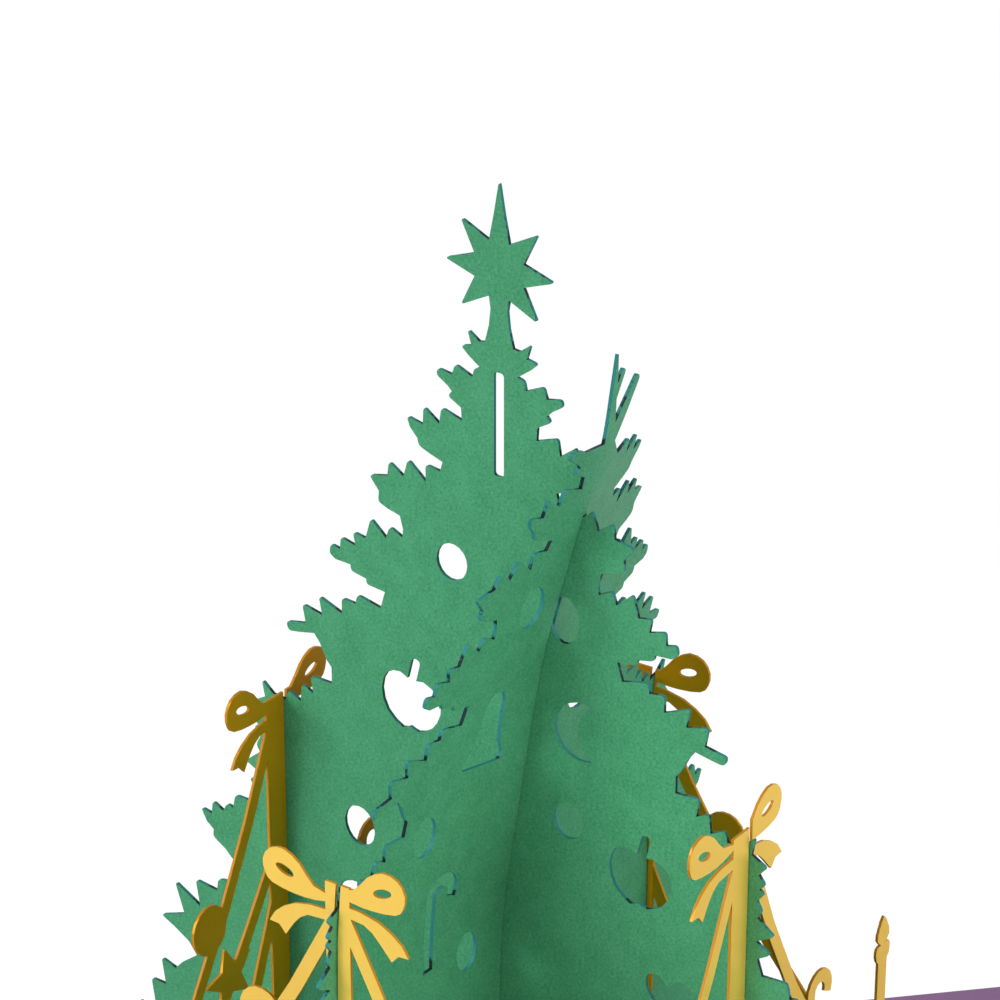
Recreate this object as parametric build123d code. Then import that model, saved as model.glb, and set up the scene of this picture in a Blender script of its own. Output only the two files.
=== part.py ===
from build123d import *
import math
import os

os.makedirs("parts", exist_ok=True)

# Sheets
GREEN_T = 0.4         # thickness of the green tree sheets
GOLD_T = 0.32         # thickness of the gold garland sheets
CARD_T = 0.5          # thickness of the base card
CARD_LENGTH = 296.0   # open card, across the fold
CARD_DEPTH = 148.0    # open card, along the fold
CREASE_DEPTH = 0.15   # pressed line at the fold
CREASE_WIDTH = 0.8

# Tree
TREE_TOP = 143.6      # tip of the star above the card
TREE_WIDE = 57.0      # reach of the lowest branch from the axis
TRUNK_HALF = 12.0     # half width of the trunk
TRUNK_TALL = 10.6
CUT_ROUND = 0.22      # rounding that the cutter leaves at a corner
PLAY = 0.1            # gap on each side of a sheet in a slit
HOOK_HALF = 0.6       # half width of the empty slot under the star
HOOK_LONG = 11.2
HOOK_BELOW = 20.0     # top of that slot, below the tip of the star
TAB_FROM = 6.0        # glue tabs, folded flat on the card, start this far from the axis
TAB_GAP = 0.4         # between the tabs of two neighbouring sheets

# Lean of the cross tree
LEAN_START = 52.0     # the sheet stands upright below this height at the axis
LEAN_FIRST = 9.0      # first bend, degrees
LEAN_RADIUS = 115.0
LEAN_STRAIGHT = 17.6  # straight run between the first two bends
LEAN_BACK = 8.0       # last bend, back again, degrees
BACK_RADIUS = 50.0
RULING_RISE = 0.55    # the lines the sheet bends along rise this much toward each side
BRIDGE_GAP = 0.06     # bridge of the cross tree to the branch it leans past
BRIDGE_UNDER = 5.4    # bridge, from this far below the tip of that branch
BRIDGE_OVER = 2.6     # to this far above it
NEAR_IN = 2.7         # upper branches of the near half are cut shorter and lower
NEAR_DROP = 3.0
FAR_DROP = 1.4
CHANGE_LOW = 50.0     # that change grows between these two heights
CHANGE_HIGH = 88.0

# Garland cage
CAGE_LEFT = 28.0      # distance of each garland sheet from the axis
CAGE_RIGHT = 30.0
CAGE_FRONT = 28.6
CAGE_BACK = 28.6
SLOT_SPARE = 0.2      # gap on each side of a garland sheet in a tree slit
HALF_LAP = 30.0       # tree slits end at this height, garland slits start there
LAP_GAP = 0.3         # vertical gap between the ends of two slits
POLE_SIDE = 3.25      # pole of the left and right sheets, from the slit to its broad side
POLE_END = 1.95       # pole of the front and back sheets, the same
POLE_NARROW = 1.0     # pole on the other side of the slit
POLE_OVER = 0.8       # top of the pole over the knot
STRING_W = 1.5
KNOT_LEFT = 79.6      # height of the knot of each bow
KNOT_RIGHT = 81.2
KNOT_END = 78.6
BOW_LEFT = -1.3       # place of the bow beside the slit
BOW_RIGHT = -2.8
BOW_FRONT = 0.0
BOW_BACK = -0.95
BOW_DROP = 1.1        # left half of the front bow hangs lower
TAIL_LEFT = 8.0       # reach of a bow's left tail
TAIL_RIGHT = 9.0
BAND_TALL = 8.0       # strip on the card that carries poles and posts
BAND_PAST = 7.0       # reach of that strip past the corners of the cage
POST_HALF = 0.9
POST_LOW_HALF = 2.6   # post at a corner of the cage
POST_LOW_TOP = 38.0
CUP_LEFT = 49.6       # foot of a candle's cup, on each sheet that has candles
CUP_RIGHT = 52.6
CORNER_LAP = 20.0     # slits of two garland sheets meet at this height

ROOT2 = math.sqrt(0.5)
STAR_DIR = Vector(ROOT2, -ROOT2, 0)
CROSS_DIR = Vector(ROOT2, ROOT2, 0)
UP = Vector(0, 0, 1)
STAR_PLANE = Plane(origin=(0, 0, 0), x_dir=STAR_DIR, z_dir=STAR_DIR.cross(UP))
CROSS_PLANE = Plane(origin=(0, 0, 0), x_dir=CROSS_DIR, z_dir=CROSS_DIR.cross(UP))

SLIT_HALF = GREEN_T / 2 + PLAY
RING_SLIT_HALF = GOLD_T / 2 + SLOT_SPARE
GOLD_SLIT_HALF = GOLD_T / 2 + PLAY
BLUNT_UNTIL = 150     # corners flatter than this, in degrees, are left as they are
OVAL_SIDES = 18


def outline(points):
    """Face inside a closed run of points."""
    return make_face(Polyline(*points, close=True))


def rounded_face(points, radius=CUT_ROUND):
    """Closed outline whose outward corners are rounded in two short cuts."""
    corners = [Vector(*p) for p in points]
    nexts = corners[1:] + corners[:1]
    area = sum(p.X * q.Y - q.X * p.Y for p, q in zip(corners, nexts))
    out = []
    for i, corner in enumerate(corners):
        back = corners[i - 1] - corner
        fore = nexts[i] - corner
        turn = back.get_angle(fore)
        outward = area * (fore.X * back.Y - fore.Y * back.X) > 0
        if not outward or turn > BLUNT_UNTIL:
            out.append(corner)
            continue
        reach = min(radius * 1.6, 0.42 * back.length, 0.42 * fore.length)
        first = corner + back.normalized() * reach
        last = corner + fore.normalized() * reach
        half = math.radians(turn / 2)
        to_mid = reach / math.cos(half) - reach * math.tan(half)
        inward = (first + last) * 0.5 - corner
        out += [first, corner + inward.normalized() * to_mid, last]
    return outline(out)


def smooth_loop(points, steps=2):
    """Points along a smooth closed curve through the given ones."""
    count = len(points)
    out = []
    for i in range(count):
        near = [points[(i + k) % count] for k in (-1, 0, 1, 2)]
        for step in range(steps):
            t = step / steps
            pulls = (
                -t + 2 * t ** 2 - t ** 3, 2 - 5 * t ** 2 + 3 * t ** 3,
                t + 4 * t ** 2 - 3 * t ** 3, t ** 3 - t ** 2,
            )
            u = sum(pull * point[0] for pull, point in zip(pulls, near)) / 2
            z = sum(pull * point[1] for pull, point in zip(pulls, near)) / 2
            out.append((u, z))
    return out


def arc_points(u, z, radius, start, end, steps):
    """Points along an arc between two angles in radians."""
    out = []
    for i in range(steps + 1):
        a = start + (end - start) * i / steps
        out.append((u + radius * math.cos(a), z + radius * math.sin(a)))
    return out


def with_windows(face, windows):
    """Outline face with closed windows cut out of it."""
    outer = face.face().outer_wire()
    return Face(outer, [w.face().outer_wire() for w in windows])


def box_face(u0, u1, z0, z1):
    """Upright rectangle between two widths and two heights."""
    return outline([(u0, z0), (u1, z0), (u1, z1), (u0, z1)])


def oval(u, z, ru, rz, tilt=0.0):
    ring = arc_points(0, 0, 1, 0, 2 * math.pi, OVAL_SIDES)[:-1]
    return Pos(u, z) * Rot(0, 0, tilt) * outline([(ru * x, rz * y) for x, y in ring])


def apple(u, z, size):
    """Apple shape with a leaning stem, used as a window in the tree."""
    flesh = [
        (0.0, 0.34), (0.22, 0.38), (0.48, 0.21), (0.52, -0.06), (0.36, -0.34),
        (0.12, -0.45), (-0.02, -0.40), (-0.16, -0.45), (-0.42, -0.25),
        (-0.52, 0.08), (-0.42, 0.37), (-0.18, 0.44),
    ]
    body = outline(smooth_loop([(u + a * size, z + b * size) for a, b in flesh]))
    wide = 0.075 * size
    long = 0.22 * size
    stem = rounded_face([(-wide, -long), (wide, -long), (wide, long), (-wide, long)], wide / 2)
    return body + Pos(u + 0.05 * size, z + 0.50 * size) * Rot(0, 0, -14) * stem


def moon(u, z, tall):
    """Crescent: a circle with a larger circle taken from its right side."""
    outer = tall / 2
    inner = 0.55 * tall
    apart = 0.47 * tall
    horn = (apart ** 2 + outer ** 2 - inner ** 2) / (2 * apart)
    wide = math.acos(horn / outer)
    narrow = math.acos((apart - horn) / inner)
    back = arc_points(u, z, outer, wide, 2 * math.pi - wide, 14)
    front = arc_points(u + apart, z, inner, math.pi + narrow, math.pi - narrow, 8)
    return outline(back + front[1:-1])


def heart(u, z, size):
    side = [(0.0, 0.22), (0.20, 0.46), (0.46, 0.40), (0.50, 0.10), (0.26, -0.22), (0.0, -0.5)]
    whole = side + [(-a, b) for a, b in reversed(side[1:-1])]
    return rounded_face([(u + a * size, z + b * size) for a, b in whole], 0.5)


def bell(u, z, wide, tall, tilt):
    """Small bell with a flared rim."""
    side = [(0.14, 0.50), (0.24, 0.36), (0.28, 0.08), (0.36, -0.20), (0.52, -0.40), (0.50, -0.50)]
    whole = side + [(-a, b) for a, b in reversed(side)]
    return Pos(u, z) * Rot(0, 0, tilt) * rounded_face([(a * wide, b * tall) for a, b in whole], 0.4)


def cane(u, z, tall, width, bend):
    """Candy cane: a straight stick with a hook to the right at its top."""
    low = z - tall / 2
    top = z + tall / 2 - bend
    tip = -0.45
    outer = arc_points(u + bend, top, bend + width / 2, math.pi, tip, 10)
    inner = arc_points(u + bend, top, bend - width / 2, tip, math.pi, 8)
    return outline([(u - width / 2, low)] + outer + inner + [(u + width / 2, low)])


def points_star(u, z, big, small, count, turn=0.0):
    out = []
    for i in range(2 * count):
        r = big if i % 2 == 0 else small
        a = math.radians(90 + turn) + math.pi * i / count
        out.append((u + r * math.cos(a), z + r * math.sin(a)))
    return out


# Right-hand edge of the tree, from the trunk up to the neck of the star.
# Every branch is cut as teeth on its upper side and a wavy lower side.
BRANCHES = [
    [(40.0, 10.6), (48.0, 11.0), (53.5, 12.8), (57.0, 15.6), (55.0, 16.4),
     (55.4, 19.4), (52.6, 18.6), (52.4, 21.6), (49.6, 20.6), (49.0, 23.4), (45.8, 22.6)],
    [(46.5, 23.8), (50.6, 24.6), (54.0, 27.4), (51.6, 28.0), (51.9, 31.2), (49.4, 30.4),
     (49.9, 34.7), (47.2, 33.6), (47.9, 38.2), (45.8, 38.1), (46.3, 41.4), (44.3, 40.7), (43.4, 41.7)],
    [(41.1, 43.4), (42.2, 44.9), (44.3, 46.2), (46.1, 47.1), (42.7, 48.3), (43.9, 52.0),
     (40.4, 50.0), (40.9, 53.2), (37.9, 52.8), (37.7, 54.3), (35.2, 54.7)],
    [(35.4, 57.4), (36.5, 58.5), (38.2, 59.6), (38.1, 60.5), (39.0, 61.2), (39.8, 62.7), (38.3, 62.4),
     (38.1, 64.0), (36.7, 63.2), (36.1, 64.3), (35.3, 64.0), (34.9, 65.7), (32.0, 65.6)],
    [(31.4, 67.4), (32.9, 68.3), (31.2, 69.4), (33.3, 70.5), (31.3, 72.1), (31.8, 72.9), (31.2, 74.0),
     (32.0, 75.0), (31.4, 75.4), (32.1, 76.0), (31.3, 77.0), (32.2, 78.0), (30.4, 79.0), (30.8, 81.0),
     (29.3, 79.7), (27.6, 79.5), (27.3, 80.7), (25.6, 79.9), (25.4, 82.0), (23.9, 81.3), (24.2, 83.3),
     (21.4, 83.2)],
    [(21.4, 85.1), (22.0, 85.8), (22.9, 87.6), (23.6, 88.5), (25.6, 88.1), (27.0, 87.9), (27.3, 88.9),
     (24.7, 89.4), (25.1, 91.5), (22.5, 90.9), (22.9, 93.0), (19.9, 91.8), (19.9, 93.6), (18.1, 93.4),
     (17.9, 94.5), (14.9, 93.8)],
    [(14.3, 95.8), (16.6, 96.1), (16.7, 96.7), (18.6, 97.1), (18.7, 97.8), (20.6, 97.9), (21.4, 98.4),
     (21.2, 99.5), (20.0, 99.2), (19.9, 100.6), (18.0, 100.1), (18.3, 101.6), (16.7, 101.3),
     (16.0, 103.7), (14.1, 102.0), (13.6, 103.4), (12.0, 102.6)],
    [(11.9, 103.6), (12.3, 105.0), (13.8, 105.4), (15.0, 105.9), (14.9, 107.1), (16.1, 108.6),
     (13.8, 109.1), (13.6, 110.7), (11.8, 109.5), (11.2, 111.5), (9.0, 109.6), (9.0, 111.5), (7.2, 111.2)],
    [(6.9, 112.3), (8.6, 112.9), (9.8, 113.4), (10.0, 114.2), (10.9, 115.2), (11.3, 116.3),
     (9.3, 115.8), (9.2, 117.8), (7.3, 116.4), (7.0, 118.2), (4.5, 117.4)],
    [(4.6, 118.8), (6.2, 119.7), (5.7, 120.3), (6.2, 120.8), (7.6, 121.7), (7.4, 122.4), (5.7, 122.1),
     (5.3, 123.3), (3.2, 122.4), (3.0, 123.4), (2.2, 123.6)],
    [(3.6, 124.6), (4.6, 125.5), (3.3, 125.8), (3.8, 127.4), (2.4, 126.4), (1.7, 126.5)],
]
STAR_TIP = (0.0, 143.6)               # in the same drawing
BRIDGE_BRANCH = len(BRANCHES) - 3     # branch whose tip the cross tree leans past
HIGH = TREE_TOP / STAR_TIP[1]
WIDE = TREE_WIDE / max(s for branch in BRANCHES for s, z in branch)


def placed(s, z):
    """Point of the tree's drawing on the sheet."""
    return s * WIDE, z * HIGH


def tree_edge(ring, last=len(BRANCHES)):
    """One half of the tree from its foot up, with the slit that takes a garland sheet."""
    foot = TRUNK_TALL + CARD_T
    inner = ring - RING_SLIT_HALF
    outer = ring + RING_SLIT_HALF
    out = [(TRUNK_HALF, CARD_T), (TRUNK_HALF, foot), (inner, foot), (inner, HALF_LAP)]
    out += [(outer, HALF_LAP), (outer, foot)]
    for branch in BRANCHES[:last]:
        out += [placed(s, z) for s, z in branch]
    return out


def star_half():
    """Right half of the eight-pointed star, from its neck to the point beside its tip."""
    centre = 134.4 * HIGH
    big = 6.45
    small = 3.15
    out = [(1.2, 128.4 * HIGH), (1.0, 130.2 * HIGH)]
    for i in range(7):
        a = math.radians(-67.5 + 22.5 * i)
        r = small if i % 2 == 0 else big
        out.append((r * math.cos(a), centre + r * math.sin(a)))
    return out + [(0.62, TREE_TOP - 3.5)]


def to_left(edge):
    """The same edge on the left, from its top down."""
    return [(-s, z) for s, z in reversed(edge)]


LEAN_FLOOR = -60.0    # the bent sheet is drawn from here and cut to its outline


def lean_runs():
    """Runs of the lean: length and angle of turn, zero for a straight run."""
    return [
        (LEAN_START - LEAN_FLOOR, 0.0), (LEAN_RADIUS, LEAN_FIRST), (LEAN_STRAIGHT, 0.0),
        (LEAN_RADIUS, LEAN_SECOND), (14.6, 0.0), (BACK_RADIUS, -LEAN_BACK), (20.0, 0.0),
    ]


def along(state, size, degrees, share):
    """Place and direction after a share of one run."""
    c, z, ang = state
    if degrees == 0:
        return [c + share * size * math.sin(ang), z + share * size * math.cos(ang), ang]
    turn = math.radians(degrees)
    sign = 1 if turn > 0 else -1
    t = ang + turn * share
    return [
        c + sign * size * (math.cos(ang) - math.cos(t)),
        z + sign * size * (math.sin(t) - math.sin(ang)),
        t,
    ]


def lean_edges(offset):
    """One side of the bent sheet seen along its ruling lines."""
    state = [0.0, LEAN_FLOOR, 0.0]
    edges = []
    for size, degrees in lean_runs():
        stops = []
        for share in (0.0, 0.5, 1.0):
            c, z, ang = along(state, size, degrees, share)
            stops.append(Vector(c + offset * math.cos(ang), z - offset * math.sin(ang)))
        edges.append(Line(stops[0], stops[2]) if degrees == 0 else ThreePointArc(*stops))
        state = along(state, size, degrees, 1.0)
    return edges


def lean_out_at(height):
    """How far the sheet leans out at a height, measured at the axis."""
    state = [0.0, LEAN_FLOOR, 0.0]
    for size, degrees in lean_runs():
        end = along(state, size, degrees, 1.0)
        if end[1] >= height:
            break
        state = end
    low, high = 0.0, 1.0
    for _ in range(30):
        mid = (low + high) / 2
        if along(state, size, degrees, mid)[1] < height:
            low = mid
        else:
            high = mid
    return along(state, size, degrees, low)[0]


# The second bend is as strong as the bridge needs to pass the branch tip.
tip_s, tip_z = placed(*max(BRANCHES[BRIDGE_BRANCH]))
bridge_low = tip_z - BRIDGE_UNDER
bridge_high = tip_z + BRIDGE_OVER
bend_low, bend_high = 2.0, 16.0
for _ in range(30):
    LEAN_SECOND = (bend_low + bend_high) / 2
    clear = lean_out_at(tip_z) - 0.53 * GREEN_T - tip_s
    if clear < BRIDGE_GAP:
        bend_low = LEAN_SECOND
    else:
        bend_high = LEAN_SECOND


def foot_tab(plane, side, fold):
    """Glue tab at one half of a tree sheet's foot, folded over and flat on the card."""
    reach = TAB_FROM - TAB_GAP
    length = TRUNK_HALF - TAB_FROM
    place = Pos(side * (TAB_FROM + length / 2), CARD_T + GREEN_T / 2, fold * reach / 2)
    return plane * place * Box(length, GREEN_T, reach)


def upright(face, plane, thick):
    return extrude(plane * face, thick / 2, both=True)


# Base card: one sheet with a pressed fold, laid open flat.
card = Pos(0, 0, CARD_T / 2) * Box(CARD_LENGTH, CARD_DEPTH, CARD_T)
groove = Plane.XZ * make_face(Polyline(
    (-CREASE_WIDTH / 2, CARD_T), (0, CARD_T - CREASE_DEPTH), (CREASE_WIDTH / 2, CARD_T), close=True))
card = card - extrude(groove, CARD_DEPTH, both=True)

# Star tree: flat sheet along the first diagonal.
star = star_half()
star_points = tree_edge(CAGE_RIGHT) + star + [(0.0, TREE_TOP)] + to_left(star) + to_left(tree_edge(CAGE_LEFT))
hook_top = TREE_TOP - HOOK_BELOW
hook_slot = rounded_face([
    (-HOOK_HALF, hook_top - HOOK_LONG), (HOOK_HALF, hook_top - HOOK_LONG),
    (HOOK_HALF, hook_top), (-HOOK_HALF, hook_top),
])
star_face = with_windows(rounded_face(star_points), [
    hook_slot,
    oval(*placed(-5.8, 101.5), 1.9, 2.05),
    apple(*placed(-11.1, 84.0), 7.2),
    oval(*placed(-18.0, 67.2), 1.95, 2.35, 12),
    oval(*placed(-18.7, 57.8), 2.4, 2.4),
    oval(*placed(8.0, 98.7), 1.75, 2.6),
    moon(*placed(10.2, 86.7), 6.6),
    oval(*placed(8.6, 76.1), 1.8, 2.1),
    apple(*placed(17.4, 72.1), 7.2),
    heart(*placed(21.0, 59.2), 5.6),
])
star_tree = upright(star_face, STAR_PLANE, GREEN_T)
star_tree += foot_tab(STAR_PLANE, 1, -1)
star_tree += foot_tab(STAR_PLANE, -1, 1)


# Cross tree: the same tree without a star, slit from its foot to the bridge, leaning over.
def changed(edge, inward, drop):
    """Tree edge with its upper branches cut shorter and lower."""
    out = []
    for s, z in edge:
        part = min(max((z - CHANGE_LOW) / (CHANGE_HIGH - CHANGE_LOW), 0.0), 1.0)
        out.append((s - inward * part, z - drop * part))
    return out


near_edge = changed(tree_edge(CAGE_FRONT, BRIDGE_BRANCH + 2)[:-5], NEAR_IN, NEAR_DROP)
near_edge += [(3.3, bridge_high + 0.4), (2.6, bridge_high)]
far_edge = changed(tree_edge(CAGE_BACK, BRIDGE_BRANCH + 1), 0.0, FAR_DROP)
prong = [
    (2.6, -0.6), (5.6, 5.4), (5.0, 6.0), (1.6, 1.8), (1.0, 4.6), (2.2, 7.4), (1.6, 7.8), (0.8, 6.4),
    (0.0, 10.1),
]
far_edge += [(s, bridge_high + z) for s, z in prong]
cross_points = [(SLIT_HALF, CARD_T)] + far_edge + [(0.0, bridge_high)] + to_left(near_edge)
cross_points += [(-SLIT_HALF, CARD_T), (-SLIT_HALF, bridge_low), (SLIT_HALF, bridge_low)]
cross_face = with_windows(rounded_face(cross_points), [
    oval(*placed(-4.4, 101.4), 1.75, 2.5, 10),
    bell(*placed(-7.4, 88.3), 6.3, 8.2, -9),
    oval(*placed(-15.7, 79.0), 1.75, 2.5, 10),
    cane(*placed(-13.4, 66.9), 10.2, 1.6, 1.75),
    oval(*placed(-6.6, 61.0), 1.75, 2.4, 8),
    oval(*placed(5.6, 100.1), 1.9, 2.5, -8),
    moon(*placed(10.5, 86.4), 6.6),
    oval(*placed(17.9, 74.5), 2.0, 2.5, -8),
])


def lean_half(side):
    """Bent sheet on one side of the axis, without its outline."""
    near = lean_edges(-GREEN_T / 2)
    far = lean_edges(GREEN_T / 2)
    ends = [Line(near[0] @ 0, far[0] @ 0), Line(near[-1] @ 1, far[-1] @ 1)]
    ruling = CROSS_DIR * side + UP * RULING_RISE
    reach = (TREE_WIDE + 10) * ruling.length
    return extrude(STAR_PLANE * make_face(near + far + ends), reach, dir=ruling.normalized())


cross_tree = (lean_half(1) + lean_half(-1)) & extrude(CROSS_PLANE * cross_face, 40, both=True)
cross_tree += foot_tab(CROSS_PLANE, 1, 1)
cross_tree += foot_tab(CROSS_PLANE, -1, -1)


# Garland sheets: bows on poles, strings with ornaments, candles at the corners of the cage.
def string_face(start, pull, end):
    """Curved string from the pole to a post or to the band."""
    left = []
    right = []
    for i in range(6):
        k = i / 5
        u = (1 - k) ** 2 * start[0] + 2 * k * (1 - k) * pull[0] + k * k * end[0]
        z = (1 - k) ** 2 * start[1] + 2 * k * (1 - k) * pull[1] + k * k * end[1]
        du = 2 * (1 - k) * (pull[0] - start[0]) + 2 * k * (end[0] - pull[0])
        dz = 2 * (1 - k) * (pull[1] - start[1]) + 2 * k * (end[1] - pull[1])
        size = math.hypot(du, dz)
        nu = -dz / size * STRING_W / 2
        nz = du / size * STRING_W / 2
        left.append((u + nu, z + nz))
        right.append((u - nu, z - nz))
    return outline(left + right[::-1])


def bow_half(u0, knot, side, tail_reach):
    """One loop and one tail of a bow, to the side given."""
    loop = [(-0.6, 0.1), (2.4, 0.8), (4.1, 2.7), (6.0, 3.8), (7.8, 3.4), (8.65, 2.0), (8.4, 0.5), (7.5, -0.4),
            (4.8, -0.8), (2.2, -0.7)]
    loop_face = outline([(u0 + side * a, knot + b) for a, b in smooth_loop(loop)])
    hole = oval(u0 + side * 5.95, knot + 1.5, 1.15, 0.5, side * 18)
    tail = [
        (-0.6, -1.3), (0.36 * tail_reach, -1.45), (0.60 * tail_reach, -1.9), (0.78 * tail_reach, -2.7),
        (0.91 * tail_reach, -3.6), (tail_reach, -4.8), (tail_reach - 1.2, -4.9), (tail_reach - 2.0, -5.8),
        (0.62 * tail_reach, -4.2), (0.52 * tail_reach, -3.3), (0.40 * tail_reach, -2.7), (-0.6, -2.4),
    ]
    return loop_face - hole + outline([(u0 + side * a, knot + b) for a, b in tail])


def candle(u, foot):
    """Candle with cup and flame on a corner post."""
    stick = box_face(u - POST_HALF, u + POST_HALF, POST_LOW_TOP - 1, foot + 0.5)
    cup = rounded_face([
        (u - 1.0, foot), (u + 1.0, foot), (u + 1.5, foot + 1.0), (u + 1.4, foot + 2.2),
        (u - 1.4, foot + 2.2), (u - 1.5, foot + 1.0),
    ], 0.3)
    flame = outline(smooth_loop([
        (u, foot + 2.0), (u + 1.25, foot + 3.0), (u + 0.9, foot + 4.3), (u, foot + 5.6),
        (u - 0.9, foot + 4.3), (u - 1.25, foot + 3.0),
    ]))
    return stick + cup + flame


def fin_slit(top, away):
    """Slit of a garland sheet, open at the top, shaped to the tree sheet that stands in it."""
    low = HALF_LAP - LAP_GAP
    stops = 8 if away else 1
    left = []
    right = []
    for i in range(stops + 1):
        z = low + (top - low) * i / stops
        out = lean_out_at(z - RULING_RISE * away) if away else 0.0
        left.append((out - SLIT_HALF, z))
        right.append((out + SLIT_HALF, z))
    return outline(right + left[::-1])


def garland(bow_at, knots, pole, away, posts, cup, ornaments):
    """Cut pattern of one garland sheet, with candles where it has a cup height."""
    face = box_face(posts[0] - BAND_PAST, posts[1] + BAND_PAST, CARD_T, CARD_T + BAND_TALL)
    face += box_face(pole[0], pole[1], CARD_T, max(knots) + POLE_OVER)
    for side, post, knot, tail_reach in zip((-1, 1), posts, knots, (TAIL_LEFT, TAIL_RIGHT)):
        run = abs(post - bow_at)
        face += bow_half(bow_at, knot, side, tail_reach)
        post_in = post - side * 0.65 * POST_LOW_HALF
        foot = pole[0] + STRING_W / 2 if side < 0 else pole[1] - STRING_W / 2
        for below, pull, end in (
            (2.6, 52.0, (post_in, POST_LOW_TOP - 1.6)),
            (18.2, 45.0, (post_in, POST_LOW_TOP - 10.0)),
            (23.6, 30.0, (bow_at + side * 0.72 * run, CARD_T + 0.7 * BAND_TALL)),
        ):
            face += string_face((foot, knot - below), (bow_at + side * 0.42 * run, pull), end)
        face += box_face(post - POST_LOW_HALF, post + POST_LOW_HALF, CARD_T, POST_LOW_TOP)
        if cup:
            face += candle(post, cup)
    for ornament in ornaments:
        face += ornament
    face -= fin_slit(max(knots) + 9, away)
    for post in posts:
        low, high = (0, CORNER_LAP) if cup else (CORNER_LAP - LAP_GAP, 2 * POST_LOW_TOP)
        face -= box_face(post - GOLD_SLIT_HALF, post + GOLD_SLIT_HALF, low, high)
    return face


side_posts = (-CAGE_FRONT, CAGE_BACK)
end_posts = (-CAGE_LEFT, CAGE_RIGHT)
side_pole = (-POLE_SIDE, POLE_NARROW)
front_pole = (-POLE_NARROW, POLE_END)
back_pole = (-POLE_END, POLE_NARROW)
side_ornaments = [
    oval(-13.9, 57.6, 2.75, 3.0, 24),
    rounded_face(points_star(-10.7, 50.2, 4.2, 1.9, 5, 12)),
    cane(13.4, 53.4, 8.0, 1.5, 1.75),
]
end_ornaments = [oval(-9.4, 61.4, 2.7, 2.95, 24), oval(9.9, 61.6, 2.7, 2.95, -24)]


def cage_sheet(face, plane, across, at):
    moved = Plane(origin=across * at, x_dir=plane.x_dir, z_dir=plane.z_dir)
    return upright(face, moved, GOLD_T)


left_face = garland(BOW_LEFT, (KNOT_LEFT, KNOT_LEFT), side_pole, 0.0, side_posts, CUP_LEFT, side_ornaments)
right_face = garland(BOW_RIGHT, (KNOT_RIGHT, KNOT_RIGHT), side_pole, 0.0, side_posts, CUP_RIGHT, side_ornaments)
front_knots = (KNOT_END - BOW_DROP, KNOT_END)
front_face = garland(BOW_FRONT, front_knots, front_pole, CAGE_FRONT, end_posts, 0.0, end_ornaments)
back_face = garland(BOW_BACK, (KNOT_END, KNOT_END), back_pole, CAGE_BACK, end_posts, 0.0, end_ornaments)
garland_left = cage_sheet(left_face, CROSS_PLANE, STAR_DIR, -CAGE_LEFT)
garland_right = cage_sheet(right_face, CROSS_PLANE, STAR_DIR, CAGE_RIGHT)
garland_front = cage_sheet(front_face, STAR_PLANE, CROSS_DIR, -CAGE_FRONT)
garland_back = cage_sheet(back_face, STAR_PLANE, CROSS_DIR, CAGE_BACK)

export_step(card, "parts/base_card.step")
export_step(star_tree, "parts/star_tree.step")
export_step(cross_tree, "parts/cross_tree.step")
export_step(garland_left, "parts/garland_left.step")
export_step(garland_front, "parts/garland_front.step")
export_step(garland_right, "parts/garland_right.step")
export_step(garland_back, "parts/garland_back.step")
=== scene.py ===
import math

import bmesh
import bpy
from bpy.props import FloatProperty, FloatVectorProperty, PointerProperty
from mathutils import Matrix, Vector


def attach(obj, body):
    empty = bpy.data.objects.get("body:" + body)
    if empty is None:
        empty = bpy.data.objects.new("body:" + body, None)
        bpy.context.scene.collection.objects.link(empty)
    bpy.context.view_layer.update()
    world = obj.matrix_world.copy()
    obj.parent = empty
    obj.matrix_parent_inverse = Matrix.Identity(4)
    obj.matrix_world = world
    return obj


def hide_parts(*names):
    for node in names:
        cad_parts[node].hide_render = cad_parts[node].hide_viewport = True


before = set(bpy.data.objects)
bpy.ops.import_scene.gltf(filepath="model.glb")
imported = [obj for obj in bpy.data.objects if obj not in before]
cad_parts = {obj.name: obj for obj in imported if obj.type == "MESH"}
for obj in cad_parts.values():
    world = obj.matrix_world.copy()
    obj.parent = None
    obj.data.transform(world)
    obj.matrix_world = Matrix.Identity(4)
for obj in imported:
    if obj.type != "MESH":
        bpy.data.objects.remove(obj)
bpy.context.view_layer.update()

bl_info = {
    "name": "Pop-up tree card",
    "version": (1, 0, 0),
    "blender": (4, 5, 0),
    "location": "View3D > Sidebar > Card",
    "description": "Paper looks and studio for an open pop-up card with a slotted tree",
    "category": "Object",
}

BODY = "root"

# How the sheets stand, and how their faces and corners are told apart
STAR_WAY = Vector((1, -1, 0)).normalized()    # the star tree stands along this line
CROSS_WAY = Vector((1, 1, 0)).normalized()    # the cross tree stands along this one
UPWARD = Vector((0, 0, 1))
MERGE_DISTANCE = 1e-6
EDGE_TURN = 0.2    # a face that turns this little toward the sheet's normal is a cut edge
NOTCH_TURN = math.radians(28)    # a cut edge that turns inward by more than this makes an inward corner, which gets painted shade
SMOOTH_TURN = math.radians(24)

# Paper, with grain in specks to the metre and relief in metres
PAPER_GLOSS = 0.2    # uncoated paper reflects less than the shader's usual half
RELIEF_STRENGTH = 0.35
GREEN_GRAIN = 3600
GREEN_CLOUDS = 420
GREEN_RELIEF = 0.00004
FINE_SHARE = 0.75    # share of the fine grain in the specks, with the clouds as the rest
SPECK_RANGE = (0.36, 0.66)
SCORCH_GRAIN = 1300
NOTCH_SHADE_WEIGHT = 0.45    # how much painted shade an inward corner of a cut edge adds to the laser's burn noise
# range that turns the burn noise and the painted corner shade into the dark of the edge
SCORCH_AND_SHADE_RANGE = (0.7, 0.82)
GOLD_GRAIN = 2600
CARD_GRAIN = 2200
SMOOTH_RELIEF = 0.00003    # relief of the gold paper and the card

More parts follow.
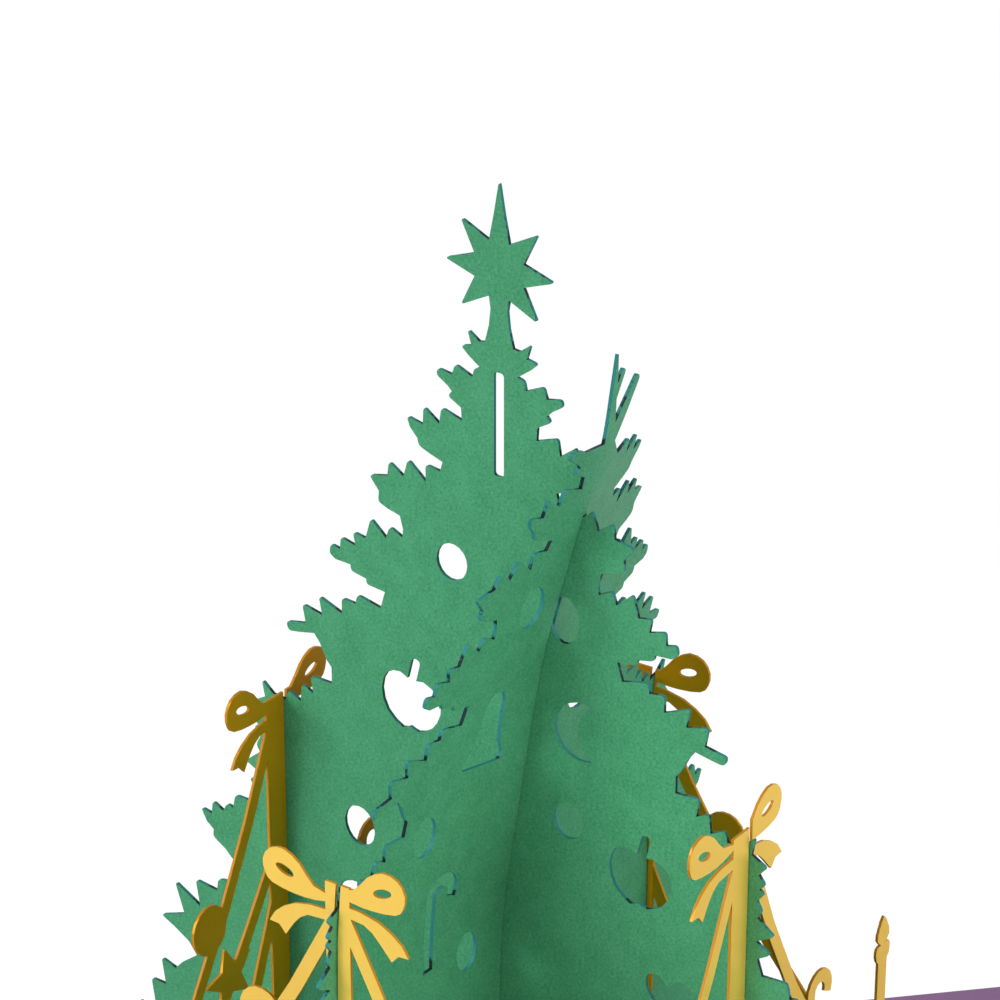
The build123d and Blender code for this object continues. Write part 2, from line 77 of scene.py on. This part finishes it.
# Studio, in metres unless it says otherwise
FLOOR_HALF = 6.0
FLOOR_GREY = 0.9
FLOOR_WHITE = 1.08    # strength of the white that the camera sees in the floor
FLOOR_WHITE_SHARE = 0.92    # the rest of what it sees is the lit floor with the card's shadow
SENSOR_WIDTH = 36    # millimetres
NEAREST = 0.01    # the camera sees nothing closer than this
LAMP_AIM = Vector((0, 0, 0.035))
LAMPS = (    # name, place, size, angle of the beam in degrees
    ("left", (-0.40, -0.12, 0.28), 0.25, 50),
    ("front_left", (-0.34, -0.32, 0.22), 0.3, 36),
    ("front_right", (0.30, -0.36, 0.22), 0.3, 36),
    ("right", (0.40, -0.15, 0.28), 0.25, 50),
    ("reflector", (-0.10, -0.25, 0.02), 0.15, 180),
)


def srgb(red, green, blue):
    """Linear colour of an sRGB colour with parts from 0 to 255."""
    parts = [part / 255 for part in (red, green, blue)]
    return tuple(c / 12.92 if c <= 0.04045 else ((c + 0.055) / 1.055) ** 2.4 for c in parts)


def colour_setting(name, description, default):
    """Setting that holds a colour."""
    return FloatVectorProperty(name=name, description=description, subtype="COLOR", size=3,
                               min=0, max=1, default=default)


def share_setting(name, description, default):
    """Setting that holds a share from 0 to 1."""
    return FloatProperty(name=name, description=description, subtype="FACTOR",
                         min=0, max=1, default=default)


def lamp_setting(name, default):
    """Setting that holds the power of a lamp."""
    return FloatProperty(name=name, description="Power of the lamp", unit="POWER",
                         min=0, default=default)


class GreenPaperSettings(bpy.types.PropertyGroup):
    """Colours of the tree sheets."""
    face: colour_setting("Face", "Green of the paper where it catches the light", srgb(88, 176, 130))
    mottle: colour_setting("Mottle", "Green of the darker specks in the paper", srgb(64, 150, 105))
    edge: colour_setting("Cut edge", "Blue-green of the laser-cut edge", srgb(48, 138, 136))
    # this dark colour is both the laser's burn marks and painted shade in the inward corners of the cut
    # edges
    scorch_and_shade: colour_setting("Scorch", "Dark marks that the laser leaves along an edge", srgb(6, 34, 42))
    rough: share_setting("Roughness", "Roughness of the paper", 0.52)


class GoldPaperSettings(bpy.types.PropertyGroup):
    """Colours of the garland sheets, which differ from one side to the other."""
    outer: colour_setting("Outer face", "Bright gold of the side that looks out", srgb(255, 215, 97))
    inner: colour_setting("Inner face", "Deep gold of the side that looks to the tree", srgb(255, 172, 8))
    edge: colour_setting("Cut edge", "Amber of the cut edge", srgb(210, 142, 26))
    rough: share_setting("Roughness", "Roughness of the paper", 0.46)
    shine: share_setting("Shine", "Share of metal in the finish of the outer side", 0.45)


class CardSettings(bpy.types.PropertyGroup):
    """Colours of the base card."""
    face: colour_setting("Face", "Purple of the card", srgb(168, 128, 174))
    edge: colour_setting("Cut edge", "Lavender of the card's core at its edges", srgb(204, 194, 226))
    rough: share_setting("Roughness", "Roughness of the card", 0.55)


class StudioSettings(bpy.types.PropertyGroup):
    """Camera and light."""
    distance: FloatProperty(name="Distance", description="Camera to the point it aims at",
                            unit="LENGTH", default=0.398)
    aim_height: FloatProperty(name="Aim height", description="Height of the point the camera aims at",
                              unit="LENGTH", default=0.1098)
    azimuth: FloatProperty(name="Azimuth", description="Turn of the camera round the card",
                           subtype="ANGLE", default=math.radians(-10.45))
    elevation: FloatProperty(name="Elevation", description="Rise of the camera over the card",
                             subtype="ANGLE", default=math.radians(24.2))
    lens: FloatProperty(name="Focal length", description="Focal length of the camera",
                        unit="CAMERA", default=143.3)
    sky: FloatProperty(name="Sky light", description="Strength of the even light from all round",
                       default=0.2)
    left: lamp_setting("Left lamp", 0.156)
    front_left: lamp_setting("Front left lamp", 0.036)
    front_right: lamp_setting("Front right lamp", 0.1)
    right: lamp_setting("Right lamp", 0.052)
    reflector: lamp_setting("Low reflector in front", 0.1)


class PopUpSettings(bpy.types.PropertyGroup):
    """All settings of the pop-up card."""
    green: PointerProperty(type=GreenPaperSettings)
    gold: PointerProperty(type=GoldPaperSettings)
    card: PointerProperty(type=CardSettings)
    studio: PointerProperty(type=StudioSettings)


class Shade:
    """A shader socket: sums and products of it add Math nodes to its material."""

    def __init__(self, tree, socket=None):
        self.tree = tree
        self.socket = socket

    def add(self, kind, settings=None, inputs=None, output=0):
        """Adds any node: its type, its settings, then values or links for its sockets."""
        node = self.tree.nodes.new(kind)
        for name, value in (settings or {}).items():
            if name == "stops":
                for element, (place, grey) in zip(node.color_ramp.elements, value):
                    element.position = place
                    element.color = (grey, grey, grey, 1)
            else:
                setattr(node, name, value)
        for name, value in (inputs or {}).items():
            if isinstance(value, Shade):
                self.tree.links.new(value.socket, node.inputs[name])
            else:
                node.inputs[name].default_value = value
        return Shade(self.tree, node.outputs[output] if node.outputs else None)

    def maths(self, operation, first, second):
        return self.add("ShaderNodeMath", {"operation": operation}, {0: first, 1: second})

    def __add__(self, other):
        return self.maths("ADD", self, other)

    __radd__ = __add__

    def __mul__(self, other):
        return self.maths("MULTIPLY", self, other)

    __rmul__ = __mul__

    def blend(self, low, high):
        """Colour that goes from low to high as this value goes from 0 to 1."""
        ends = {}
        for index, colour in ((6, low), (7, high)):
            ends[index] = colour if isinstance(colour, Shade) else (*colour, 1)
        return self.add("ShaderNodeMix", {"data_type": "RGBA"}, {0: self, **ends}, output=2)


def new_material(name):
    """Empty material and the wrapper that adds nodes to it."""
    material = bpy.data.materials.new(name)
    material.use_nodes = True
    material.node_tree.nodes.clear()
    return material, Shade(material.node_tree)


def mark(paint, name):
    """Value of a mark on the sheet's faces."""
    return paint.add("ShaderNodeAttribute", {"attribute_name": name}, output="Fac")


def grain(paint, scale, detail=3):
    """Noise in the paper, with this many specks to the metre."""
    place = paint.add("ShaderNodeTexCoord", output="Object")
    return paint.add("ShaderNodeTexNoise", inputs={"Vector": place, "Scale": scale, "Detail": detail})


def spread(value, low, high):
    """Value stretched so that low becomes 0 and high becomes 1."""
    return value.add("ShaderNodeValToRGB", {"stops": ((low, 0), (high, 1))}, {"Fac": value})


def paper_surface(paint, colour, rough, bump, depth, metal=0):
    """Paper with that colour and roughness, a fine relief and perhaps some metal in its finish."""
    relief = paint.add("ShaderNodeBump",
                       inputs={"Height": bump, "Strength": RELIEF_STRENGTH, "Distance": depth})
    surface = paint.add("ShaderNodeBsdfPrincipled",
                        inputs={"Base Color": colour, "Roughness": rough, "Metallic": metal,
                                "Specular IOR Level": PAPER_GLOSS, "Normal": relief})
    paint.add("ShaderNodeOutputMaterial", inputs={"Surface": surface})


def green_paper(look):
    """Green paper with a fibrous grain and laser-cut edges, darkened by burn marks and by painted shade
    in their inward corners.
    """
    material, paint = new_material("green_paper")
    fine = grain(paint, GREEN_GRAIN)
    clouds = grain(paint, GREEN_CLOUDS, detail=2)
    specks = spread(fine * FINE_SHARE + clouds * (1 - FINE_SHARE), *SPECK_RANGE)
    faces = specks.blend(look.mottle, look.face)
    # the burn noise gets painted shade added at the inward corners of the cut edges
    burn_and_corner_shade = mark(paint, "notch") * NOTCH_SHADE_WEIGHT + grain(paint, SCORCH_GRAIN, detail=1)
    scorch_and_shade = spread(burn_and_corner_shade, *SCORCH_AND_SHADE_RANGE)
    edges = scorch_and_shade.blend(look.edge, look.scorch_and_shade)
    paper_surface(paint, mark(paint, "cut_edge").blend(faces, edges), look.rough, fine, GREEN_RELIEF)
    return material


def gold_paper(look):
    """Gold paper with a shiny side, a deep dull side and amber edges."""
    material, paint = new_material("gold_paper")
    fine = grain(paint, GOLD_GRAIN)
    outside = mark(paint, "outer_side")
    faces = outside.blend(look.inner, look.outer)
    colour = mark(paint, "cut_edge").blend(faces, look.edge)
    paper_surface(paint, colour, look.rough, fine, SMOOTH_RELIEF, outside * look.shine)
    return material


def purple_card(look):
    """Purple card with a pale core at its edges."""
    material, paint = new_material("purple_card")
    fine = grain(paint, CARD_GRAIN)
    colour = mark(paint, "cut_edge").blend(look.face, look.edge)
    paper_surface(paint, colour, look.rough, fine, SMOOTH_RELIEF)
    return material


def mark_notch_shade(work, facing):
    """Marks the inward corners of the cut edges, where the edge colour gets painted shade."""
    notch = work.verts.layers.float.new("notch")
    work.normal_update()
    for edge in work.edges:
        if len(edge.link_faces) != 2:
            continue
        if max(abs(face.normal.dot(facing)) for face in edge.link_faces) > EDGE_TURN:
            continue
        if edge.calc_face_angle_signed(0) < -NOTCH_TURN:
            for corner in edge.verts:
                corner[notch] = 1.0


def dressed_sheet(node, facing, material):
    """Sheet in the place of a solid, with its cut edges, its inward corners for painted shade and its
    outer side marked.
    """
    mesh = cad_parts[node].data.copy()
    work = bmesh.new()
    work.from_mesh(mesh)
    bmesh.ops.remove_doubles(work, verts=work.verts, dist=MERGE_DISTANCE)
    mark_notch_shade(work, facing)
    work.to_mesh(mesh)
    work.free()
    cut = mesh.attributes.new("cut_edge", "FLOAT", "FACE")
    outer = mesh.attributes.new("outer_side", "FLOAT", "FACE")
    for face in mesh.polygons:
        turn = face.normal.dot(facing)
        cut.data[face.index].value = float(abs(turn) < EDGE_TURN)
        outer.data[face.index].value = float(turn > 0)
        face.use_smooth = True
    mesh.set_sharp_from_angle(angle=SMOOTH_TURN)
    mesh.materials.clear()
    mesh.materials.append(material)
    sheet = bpy.data.objects.new(node + "_paper", mesh)
    bpy.context.scene.collection.objects.link(sheet)
    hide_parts(node)
    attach(sheet, BODY)


class CARD_OT_tree_sheets(bpy.types.Operator):
    """Dress the two green tree sheets"""
    bl_idname = "card.tree_sheets"
    bl_label = "Tree sheets"

    def execute(self, context):
        material = green_paper(context.scene.pop_up_card.green)
        dressed_sheet("star_tree", -CROSS_WAY, material)
        dressed_sheet("cross_tree", STAR_WAY, material)
        return {"FINISHED"}


class CARD_OT_garland_sheets(bpy.types.Operator):
    """Dress the four gold garland sheets"""
    bl_idname = "card.garland_sheets"
    bl_label = "Garland sheets"

    def execute(self, context):
        material = gold_paper(context.scene.pop_up_card.gold)
        outward = {"left": -STAR_WAY, "right": STAR_WAY, "front": -CROSS_WAY, "back": CROSS_WAY}
        for side, facing in outward.items():
            dressed_sheet("garland_" + side, facing, material)
        return {"FINISHED"}


class CARD_OT_base_card(bpy.types.Operator):
    """Dress the folded base card"""
    bl_idname = "card.base_card"
    bl_label = "Base card"

    def execute(self, context):
        material = purple_card(context.scene.pop_up_card.card)
        dressed_sheet("base_card", UPWARD, material)
        return {"FINISHED"}


def white_to_camera(paint, lit, strength, camera_share):
    """Lit surface that the camera, and what reflects, see as nearly white."""
    seen = paint.add("ShaderNodeLightPath", output="Is Camera Ray")
    for ray in ("Is Glossy Ray", "Is Transmission Ray"):
        seen = paint.maths("MAXIMUM", seen, paint.add("ShaderNodeLightPath", output=ray))
    white = paint.add("ShaderNodeEmission", inputs={"Color": (1, 1, 1, 1), "Strength": strength})
    return paint.add("ShaderNodeMixShader", inputs={0: seen * camera_share, 1: lit, 2: white})


def build_floor():
    """Wide pale floor under the card."""
    half = FLOOR_HALF
    mesh = bpy.data.meshes.new("floor")
    corners = [(-half, -half, 0), (half, -half, 0), (half, half, 0), (-half, half, 0)]
    mesh.from_pydata(corners, [], [(0, 1, 2, 3)])
    material, paint = new_material("pale_floor")
    lit = paint.add("ShaderNodeBsdfDiffuse", inputs={"Color": (FLOOR_GREY, FLOOR_GREY, FLOOR_GREY, 1)})
    seen = white_to_camera(paint, lit, FLOOR_WHITE, FLOOR_WHITE_SHARE)
    paint.add("ShaderNodeOutputMaterial", inputs={"Surface": seen})
    mesh.materials.append(material)
    floor = bpy.data.objects.new("floor", mesh)
    bpy.context.scene.collection.objects.link(floor)


def build_world(strength):
    """Even white light from all round, white behind the card."""
    world = bpy.data.worlds.new("studio")
    bpy.context.scene.world = world
    world.use_nodes = True
    world.node_tree.nodes.clear()
    paint = Shade(world.node_tree)
    lit = paint.add("ShaderNodeBackground", inputs={"Color": (1, 1, 1, 1), "Strength": strength})
    seen = white_to_camera(paint, lit, strength=1, camera_share=1)
    paint.add("ShaderNodeOutputWorld", inputs={"Surface": seen})


def add_lamp(name, place, size, beam, power):
    """Square soft lamp that looks at the foot of the tree, with the angle of its beam."""
    lamp = bpy.data.lights.new(name, "AREA")
    lamp.shape = "SQUARE"
    lamp.size = size
    lamp.energy = power
    lamp.spread = beam
    holder = bpy.data.objects.new(name, lamp)
    holder.location = place
    holder.visible_camera = False
    holder.rotation_euler = (LAMP_AIM - Vector(place)).to_track_quat("-Z", "Y").to_euler()
    bpy.context.scene.collection.objects.link(holder)


def add_camera(studio):
    """Camera on the side and at the height that the photograph was taken from."""
    data = bpy.data.cameras.new("camera")
    data.sensor_width = SENSOR_WIDTH
    data.lens = studio.lens
    data.clip_start = NEAREST
    aim = Vector((0, 0, studio.aim_height))
    level = math.cos(studio.elevation)
    back = Vector((math.sin(studio.azimuth) * level, -math.cos(studio.azimuth) * level,
                   math.sin(studio.elevation)))
    camera = bpy.data.objects.new("camera", data)
    camera.location = aim + back * studio.distance
    camera.rotation_euler = (-back).to_track_quat("-Z", "Y").to_euler()
    bpy.context.scene.collection.objects.link(camera)
    bpy.context.scene.camera = camera


class CARD_OT_studio(bpy.types.Operator):
    """Set up the floor, the light and the camera"""
    bl_idname = "card.studio"
    bl_label = "Studio"

    def execute(self, context):
        studio = context.scene.pop_up_card.studio
        build_floor()
        build_world(studio.sky)
        for name, place, size, beam in LAMPS:
            add_lamp(name, place, size, math.radians(beam), getattr(studio, name))
        add_camera(studio)
        context.scene.view_settings.view_transform = "Standard"
        return {"FINISHED"}


class CARD_PT_panel(bpy.types.Panel):
    """Lists the card's pieces and settings"""
    bl_idname = "CARD_PT_panel"
    bl_label = "Pop-up tree card"
    bl_space_type = "VIEW_3D"
    bl_region_type = "UI"
    bl_category = "Card"

    def draw(self, context):
        for operator in OPERATORS:
            self.layout.operator(operator.bl_idname)
        settings = context.scene.pop_up_card
        for group in (settings.green, settings.gold, settings.card, settings.studio):
            box = self.layout.box()
            for name in group.__annotations__:
                box.prop(group, name)


OPERATORS = (CARD_OT_tree_sheets, CARD_OT_garland_sheets, CARD_OT_base_card, CARD_OT_studio)
CLASSES = (GreenPaperSettings, GoldPaperSettings, CardSettings, StudioSettings, PopUpSettings,
           *OPERATORS, CARD_PT_panel)


def register():
    for item in CLASSES:
        bpy.utils.register_class(item)
    bpy.types.Scene.pop_up_card = PointerProperty(type=PopUpSettings)


def unregister():
    del bpy.types.Scene.pop_up_card
    for item in reversed(CLASSES):
        bpy.utils.unregister_class(item)


def main():
    """Builds the card and its studio."""
    register()
    bpy.ops.card.tree_sheets()
    bpy.ops.card.garland_sheets()
    bpy.ops.card.base_card()
    bpy.ops.card.studio()


if __name__ == "__main__":
    main()
